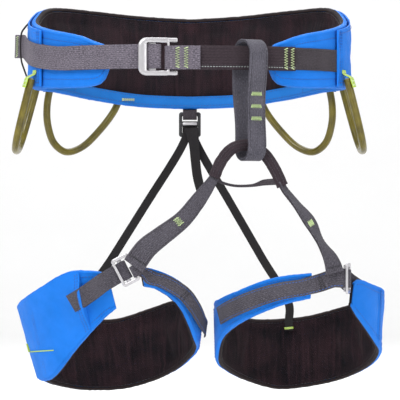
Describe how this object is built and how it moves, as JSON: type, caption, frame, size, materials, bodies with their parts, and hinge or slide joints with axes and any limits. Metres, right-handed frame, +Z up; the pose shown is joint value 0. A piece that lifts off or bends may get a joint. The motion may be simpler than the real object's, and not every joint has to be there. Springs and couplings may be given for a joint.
{
  "type": "climbing harness",
  "caption": "Padded climbing harness with waist belt, leg loops, belay loop, metal buckles, gear loops and elastic risers.",
  "frame": {"origin": "middle of the waist opening, at the height of the waist webbing", "axes": "+Z up, -Y to the front, +X to the viewer's right when the harness is seen from the front"},
  "size_m": [0.4068, 0.2495, 0.4267],
  "materials": {
    "black_mesh": "matt spacer mesh",
    "blue_fabric": "plain woven nylon",
    "grey_webbing": "heather polyester webbing",
    "dark_webbing": "dark polyester webbing",
    "tie_in_webbing": "ribbed tubular webbing",
    "slate_webbing": "dense webbing",
    "black_elastic": "ribbed elastic",
    "satin_aluminium": "satin",
    "black_plastic": "moulded",
    "pale_tag": "stitched label",
    "lime_webbing": "bright tape",
    "olive_tube": "translucent tube"
  },
  "bodies": {
    "waist_belt": {"waist_pad": "black_mesh", "waist_shell": "blue_fabric", "waist_inner_band": "blue_fabric", "size_tag": "pale_tag", "waist_side_cover_left": "blue_fabric", "waist_side_cover_right": "blue_fabric", "waist_strap_left": "grey_webbing", "waist_webbing_right": "dark_webbing", "tie_in_webbing": "tie_in_webbing", "buckle_strap": "grey_webbing", "waist_buckle_frame": "satin_aluminium", "strap_keeper": "black_elastic", "rear_tab": "dark_webbing"},
    "waist_buckle_slider": {"waist_buckle_bar": "satin_aluminium"},
    "leg_hanger": {"tie_in_arch": "tie_in_webbing", "cross_strap": "black_elastic", "rear_buckle": "black_plastic", "rear_buckle_bar": "satin_aluminium"},
    "belay_loop": {"belay_loop": "slate_webbing"},
    "riser_tail": {"riser_tail": "black_elastic"},
    "left_leg": {"leg_pad_left": "black_mesh", "leg_shell_left": "blue_fabric", "leg_strap_left": "grey_webbing", "leg_webbing_left": "grey_webbing", "leg_riser_left": "grey_webbing", "leg_buckle_frame_left": "satin_aluminium", "elastic_riser_left": "black_elastic", "riser_tab_left": "lime_webbing", "edge_tab_left": "lime_webbing"},
    "left_leg_buckle_slider": {"leg_buckle_bar_left": "satin_aluminium"},
    "right_leg": {"leg_pad_right": "black_mesh", "leg_shell_right": "blue_fabric", "leg_strap_right": "grey_webbing", "leg_webbing_right": "grey_webbing", "leg_riser_right": "grey_webbing", "leg_buckle_frame_right": "satin_aluminium", "elastic_riser_right": "black_elastic", "riser_tab_right": "lime_webbing"},
    "right_leg_buckle_slider": {"leg_buckle_bar_right": "satin_aluminium"},
    "gear_loop_front_left": {"gear_loop_front_left": "olive_tube", "gear_tab_front_left_front": "lime_webbing", "gear_tab_front_left_rear": "blue_fabric"},
    "gear_loop_front_right": {"gear_loop_front_right": "olive_tube", "gear_tab_front_right_front": "lime_webbing", "gear_tab_front_right_rear": "blue_fabric"},
    "gear_loop_rear_left": {"gear_loop_rear_left": "olive_tube", "gear_tab_rear_left_front": "blue_fabric", "gear_tab_rear_left_rear": "blue_fabric"},
    "gear_loop_rear_right": {"gear_loop_rear_right": "olive_tube", "gear_tab_rear_right_front": "blue_fabric", "gear_tab_rear_right_rear": "blue_fabric"}
  },
  "joints": [
    {"name": "legs_sway", "type": "hinge", "parent": "waist_belt", "child": "leg_hanger", "pos_m": [0.064, -0.1115, -0.001], "axis": [-0.2684, 0.9393, -0.2139], "range_deg": [-8, 8]},
    {"name": "left_leg_swing", "type": "hinge", "parent": "leg_hanger", "child": "left_leg", "pos_m": [0, 0.1125, -0.0695], "axis": [-0.1069, 0.9652, 0.2387], "range_deg": [0, 20]},
    {"name": "right_leg_swing", "type": "hinge", "parent": "leg_hanger", "child": "right_leg", "pos_m": [0, 0.1125, -0.0695], "axis": [0.4043, -0.8723, -0.275], "range_deg": [0, 20]},
    {"name": "belay_loop_twist", "type": "hinge", "parent": "leg_hanger", "child": "belay_loop", "pos_m": [0.064, -0.1115, -0.05], "axis": [0, 0, 1], "range_deg": [-4, 3]},
    {"name": "riser_tail_swing", "type": "hinge", "parent": "leg_hanger", "child": "riser_tail", "pos_m": [0.002, 0.1045, -0.068], "axis": [1, 0, 0], "range_deg": [-20, 3]},
    {"name": "gear_loop_front_right_lift", "type": "hinge", "parent": "waist_belt", "child": "gear_loop_front_right", "pos_m": [0.16698, -0.04162, -0.01], "axis": [0.0127, -0.9999, 0], "range_deg": [0, 28]},
    {"name": "gear_loop_front_left_lift", "type": "hinge", "parent": "waist_belt", "child": "gear_loop_front_left", "pos_m": [-0.16698, -0.04162, -0.01], "axis": [0.0127, 0.9999, 0], "range_deg": [0, 28]},
    {"name": "gear_loop_rear_right_lift", "type": "hinge", "parent": "waist_belt", "child": "gear_loop_rear_right", "pos_m": [0.1523, 0.05597, -0.01], "axis": [0.823, -0.5427, 0.1677], "range_deg": [0, 50]},
    {"name": "gear_loop_rear_left_lift", "type": "hinge", "parent": "waist_belt", "child": "gear_loop_rear_left", "pos_m": [-0.1523, 0.05597, -0.01], "axis": [0.823, 0.5427, -0.1677], "range_deg": [0, 50]},
    {"name": "waist_buckle_slide", "type": "slide", "parent": "waist_belt", "child": "waist_buckle_slider", "axis": [-0.9885, 0.151, 0], "range_m": [0, 0.0025]},
    {"name": "left_leg_buckle_slide", "type": "slide", "parent": "left_leg", "child": "left_leg_buckle_slider", "axis": [-0.8846, 0.0603, -0.4624], "range_m": [0, 0.002]},
    {"name": "right_leg_buckle_slide", "type": "slide", "parent": "right_leg", "child": "right_leg_buckle_slider", "axis": [0.1807, 0.9835, 0], "range_m": [0, 0.002]}
  ]
}
